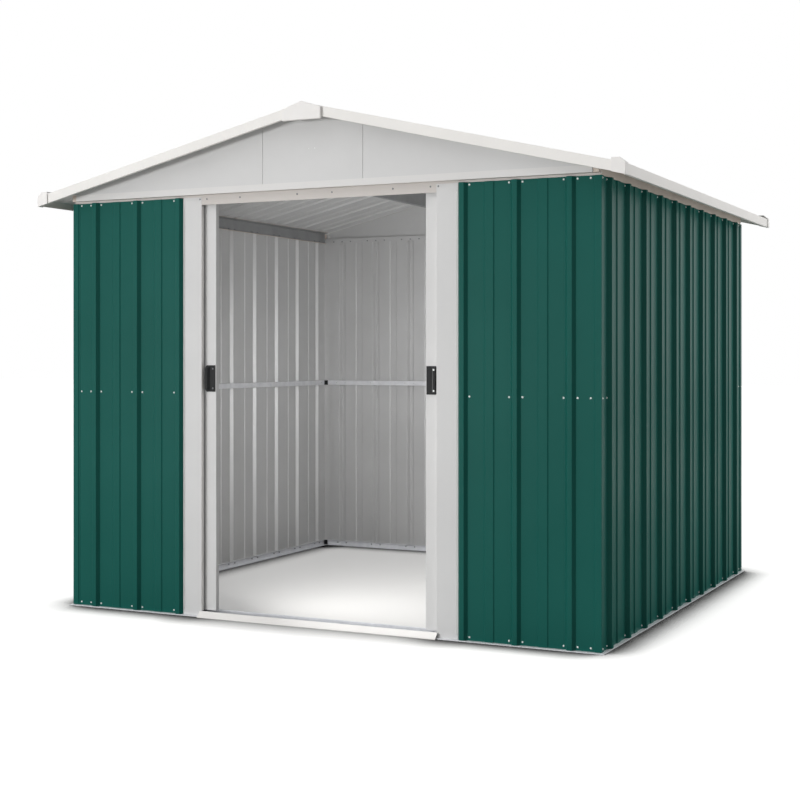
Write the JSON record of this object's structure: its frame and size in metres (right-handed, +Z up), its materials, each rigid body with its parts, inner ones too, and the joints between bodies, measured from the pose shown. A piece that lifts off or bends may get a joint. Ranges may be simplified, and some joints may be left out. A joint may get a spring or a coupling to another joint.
{
  "type": "metal storage shed with sliding doors",
  "caption": "Green ribbed metal garden shed with a shallow apex roof, white trims and two white sliding doors standing open.",
  "frame": {"origin": "on the ground at the centre of the footprint, which is the centre of the bottom of the bounding box", "axes": "+Z up, -Y out through the doorway, +X to the right of someone facing the doors"},
  "size_m": [2.4786, 2.2336, 1.9516],
  "materials": {
    "green_wall_sheet": "semi-gloss dark green paint outside, light grey lacquer inside",
    "green_roof_sheet": "semi-gloss dark green paint above, light grey lacquer below",
    "white_gable_sheet": "satin white paint",
    "white_frame": "satin white paint",
    "white_door": "satin white paint",
    "white_roof_trim": "satin white paint",
    "white_moulding": "moulded white plastic",
    "bright_ramp": "pale folded strip, satin",
    "galvanised_frame": "light grey zinc-coated steel, satin",
    "dark_moulding": "moulded dark plastic",
    "black_handle": "moulded black plastic, fine grain"
  },
  "bodies": {
    "root": {"floor_rail_front": "galvanised_frame", "floor_rail_rear": "galvanised_frame", "floor_rail_left": "galvanised_frame", "floor_rail_right": "galvanised_frame", "threshold_ramp": "bright_ramp", "front_panel_left": "green_wall_sheet", "front_panel_right": "green_wall_sheet", "left_wall_front": "green_wall_sheet", "left_wall_rear": "green_wall_sheet", "right_wall_front": "green_wall_sheet", "right_wall_rear": "green_wall_sheet", "rear_wall_left": "green_wall_sheet", "rear_wall_right": "green_wall_sheet", "corner_trims": "green_wall_sheet", "door_jamb_left": "white_frame", "door_jamb_right": "white_frame", "front_top_rail": "white_frame", "rear_top_rail": "white_frame", "left_top_rail": "galvanised_frame", "right_top_rail": "galvanised_frame", "door_track_top": "galvanised_frame", "mid_rail_left": "galvanised_frame", "mid_rail_right": "galvanised_frame", "mid_rail_rear": "galvanised_frame", "mid_rails_front": "galvanised_frame", "rail_connectors": "dark_moulding", "gable_front_left": "white_gable_sheet", "gable_front_centre": "white_gable_sheet", "gable_front_right": "white_gable_sheet", "gable_rear_left": "white_gable_sheet", "gable_rear_centre": "white_gable_sheet", "gable_rear_right": "white_gable_sheet", "roof_beam_left": "galvanised_frame", "roof_beam_right": "galvanised_frame", "roof_left_front": "green_roof_sheet", "roof_left_rear": "green_roof_sheet", "roof_right_front": "green_roof_sheet", "roof_right_rear": "green_roof_sheet", "ridge_cap": "white_roof_trim", "ridge_end_caps": "white_moulding", "fascia_front": "white_roof_trim", "fascia_rear": "white_roof_trim", "eave_trims": "white_roof_trim", "roof_corner_caps": "white_moulding"},
    "door_left": {"door_left": "white_door", "door_runners_left": "dark_moulding", "door_handle_left": "black_handle"},
    "door_right": {"door_right": "white_door", "door_runners_right": "dark_moulding", "door_handle_right": "black_handle"}
  },
  "joints": [
    {"name": "left_door_slide", "type": "slide", "parent": "root", "child": "door_left", "axis": [1, 0, 0], "range_m": [0, 0.449]},
    {"name": "right_door_slide", "type": "slide", "parent": "root", "child": "door_right", "axis": [-1, 0, 0], "range_m": [0, 0.449]}
  ]
}
